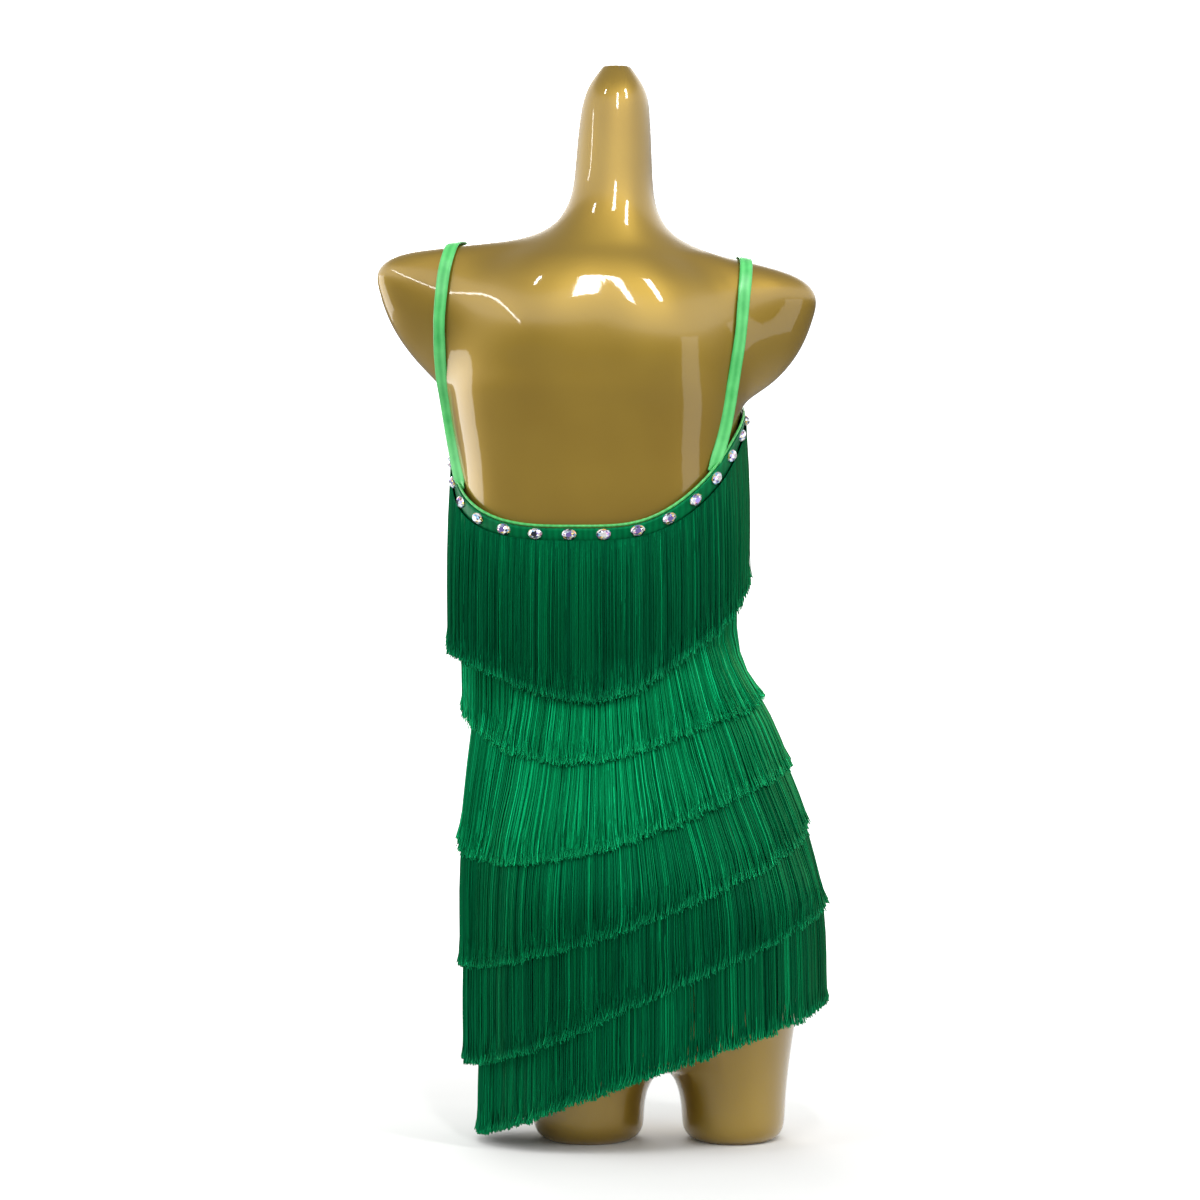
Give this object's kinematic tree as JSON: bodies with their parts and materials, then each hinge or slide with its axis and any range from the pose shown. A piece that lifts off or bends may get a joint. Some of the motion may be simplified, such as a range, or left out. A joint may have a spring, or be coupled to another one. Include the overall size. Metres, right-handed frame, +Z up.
{
  "type": "salsa dance dress on a torso form",
  "caption": "Short low-backed dance dress with slanting tiers of fringe, thin straps and a crystal-edged neckline, worn on a headless torso form.",
  "frame": {"origin": "on the floor under the middle of the whole part, between the two thigh stumps of the form", "axes": "+Z up, -Y the way the wearer would face, so the open back of the dress faces +Y; -X is the wearer's right side"},
  "size_m": [0.3965, 0.2586, 0.931],
  "materials": {
    "form": "gold lacquer, glossy",
    "cloth": "stretch satin knit, emerald",
    "binding": "bright green stretch satin",
    "strap": "bright green stretch satin",
    "fringe": "silky viscose chainette fringe",
    "crystal": "faceted, foil-backed, iridescent"
  },
  "bodies": {
    "root": {"back_neckline_band": "cloth", "back_neckline_binding": "binding", "back_panel": "cloth", "crystal_01": "crystal", "crystal_02": "crystal", "crystal_03": "crystal", "crystal_04": "crystal", "crystal_05": "crystal", "crystal_06": "crystal", "crystal_07": "crystal", "crystal_08": "crystal", "crystal_09": "crystal", "crystal_10": "crystal", "crystal_11": "crystal", "crystal_12": "crystal", "crystal_13": "crystal", "crystal_14": "crystal", "crystal_15": "crystal", "crystal_16": "crystal", "crystal_17": "crystal", "crystal_18": "crystal", "crystal_19": "crystal", "crystal_20": "crystal", "crystal_21": "crystal", "crystal_22": "crystal", "crystal_23": "crystal", "crystal_24": "crystal", "crystal_25": "crystal", "crystal_26": "crystal", "crystal_27": "crystal", "crystal_28": "crystal", "fringe_1": "fringe", "fringe_2": "fringe", "fringe_3": "fringe", "fringe_4": "fringe", "fringe_5": "fringe", "fringe_6": "fringe", "front_neckline_band": "cloth", "front_neckline_binding": "binding", "front_panel": "cloth", "strap_left": "strap", "strap_right": "strap", "torso_form": "form"}
  },
  "joints": []
}
